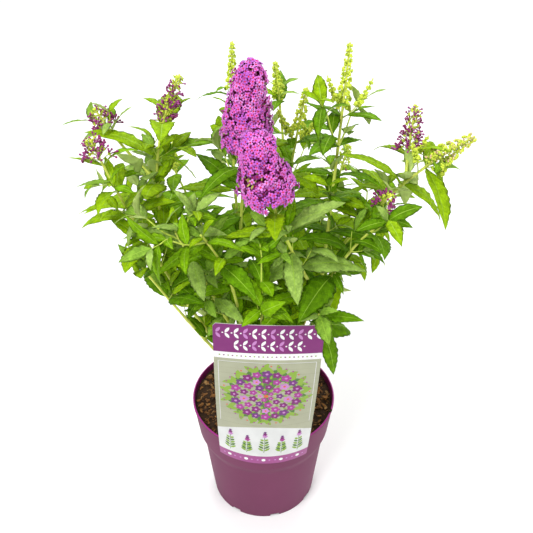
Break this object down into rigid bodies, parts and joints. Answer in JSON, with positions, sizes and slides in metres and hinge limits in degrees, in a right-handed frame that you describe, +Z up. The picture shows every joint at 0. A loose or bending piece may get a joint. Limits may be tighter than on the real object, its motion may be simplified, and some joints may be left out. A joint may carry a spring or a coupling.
{
  "type": "potted butterfly bush",
  "caption": "Bushy young butterfly bush with tall flower panicles and green bud spikes, standing in a round nursery pot of bark compost with a plant label over its rim.",
  "frame": {"origin": "centre of the pot's flat underside", "axes": "+Z up along the pot's axis; -Y towards the plant label, the front; +X to the right when the label is faced"},
  "size_m": [0.4209, 0.3853, 0.649],
  "materials": {
    "pot_plastic": "satin moulded purple plastic",
    "bark_compost": "rough damp bark compost",
    "label_card": "smooth printed weatherproof card",
    "woody_stem": "thin fissured bark",
    "leafy_shoot": "soft green leaves and shoots"
  },
  "bodies": {
    "root": {"compost": "bark_compost", "foliage_back_left": "leafy_shoot", "foliage_back_low": "leafy_shoot", "foliage_back_low_left": "leafy_shoot", "foliage_back_low_right": "leafy_shoot", "foliage_back_middle": "leafy_shoot", "foliage_back_right": "leafy_shoot", "foliage_back_tall": "leafy_shoot", "foliage_far_left": "leafy_shoot", "foliage_far_right": "leafy_shoot", "foliage_front_bloom": "leafy_shoot", "foliage_front_high": "leafy_shoot", "foliage_front_left": "leafy_shoot", "foliage_front_low": "leafy_shoot", "foliage_front_right": "leafy_shoot", "foliage_inner": "leafy_shoot", "foliage_left": "leafy_shoot", "foliage_left_low": "leafy_shoot", "foliage_right_low": "leafy_shoot", "foliage_tall": "leafy_shoot", "foliage_top_bloom": "leafy_shoot", "label": "label_card", "pot": "pot_plastic", "root_crown": "woody_stem", "stem_back_left": "woody_stem", "stem_back_right": "woody_stem", "stem_centre": "woody_stem", "stem_far_left": "woody_stem", "stem_far_right": "woody_stem", "stem_front": "woody_stem", "stem_front_left": "woody_stem", "stem_inner": "woody_stem", "stem_left": "woody_stem", "stem_right": "woody_stem"}
  },
  "joints": []
}
